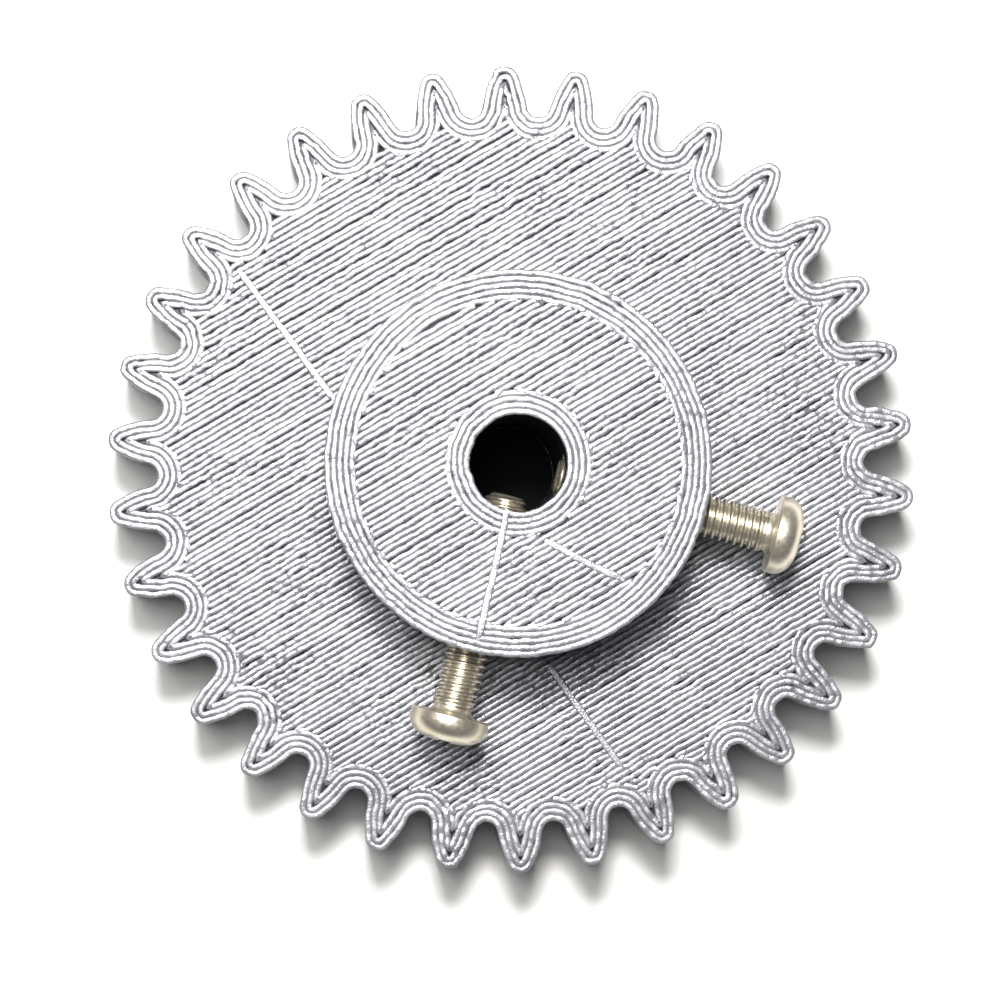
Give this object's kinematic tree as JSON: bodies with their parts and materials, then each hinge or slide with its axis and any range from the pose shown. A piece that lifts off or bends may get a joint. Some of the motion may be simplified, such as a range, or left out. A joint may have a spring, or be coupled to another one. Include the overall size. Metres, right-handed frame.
{
  "type": "spur gear",
  "caption": "Spur gear with a round hub on one side, a plain through bore and radial pan-head set screws in the hub wall that clamp it to a shaft.",
  "frame": {"origin": "on the bore's axis at the gear's flat back face, which it rests on", "axes": "+Z along the bore axis towards the hub's end, +X along set screw A and through the middle of one tooth, -Y along set screw B"},
  "size_m": [0.054, 0.0538, 0.017],
  "materials": {
    "printed_plastic": "silver-grey 3-D printed plastic with a silky sheen and visible raster and layer lines",
    "screw_steel": "nickel-plated steel, slightly warm"
  },
  "bodies": {
    "wheel": {"gear_wheel": "printed_plastic"},
    "screw_a": {"set_screw_a": "screw_steel"},
    "screw_b": {"set_screw_b": "screw_steel"}
  },
  "joints": [
    {"name": "screw_a_travel", "type": "slide", "parent": "wheel", "child": "screw_a", "axis": [1, 0, 0], "range_m": [-0.0047, 0.0094]},
    {"name": "screw_b_travel", "type": "slide", "parent": "wheel", "child": "screw_b", "axis": [0, -1, 0], "range_m": [-0.0004, 0.01]}
  ]
}
